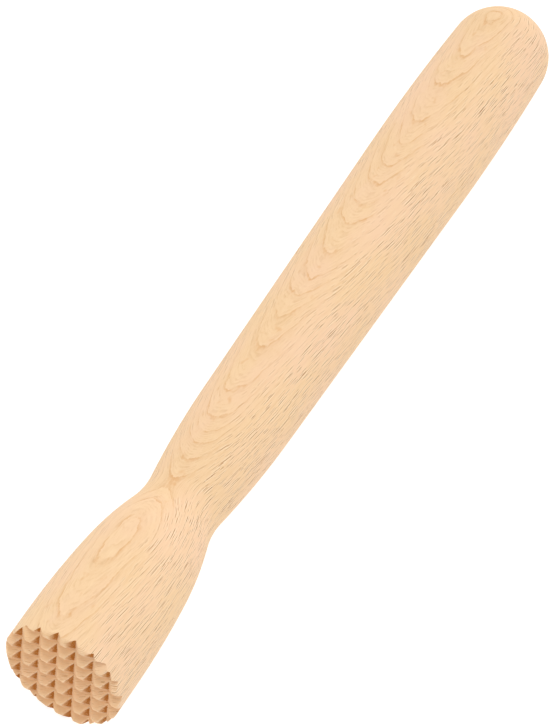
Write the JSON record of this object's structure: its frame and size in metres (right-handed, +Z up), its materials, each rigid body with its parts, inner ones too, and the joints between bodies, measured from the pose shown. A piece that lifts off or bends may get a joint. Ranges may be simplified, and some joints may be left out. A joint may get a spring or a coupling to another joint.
{
  "type": "meat mallet",
  "caption": "Slim turned beech meat mallet with a toothed striking face, waisted neck and long round-ended handle.",
  "frame": {"origin": "on the resting surface, under the middle of the mallet's length, as it lies on its side", "axes": "+Y along the turning axis towards the rounded end of the handle, so the toothed striking face looks towards -Y; +Z up; +X across"},
  "size_m": [0.031, 0.25, 0.031],
  "materials": {
    "beech": "raw sanded beech, unvarnished"
  },
  "bodies": {
    "root": {"mallet_body": "beech"}
  },
  "joints": []
}
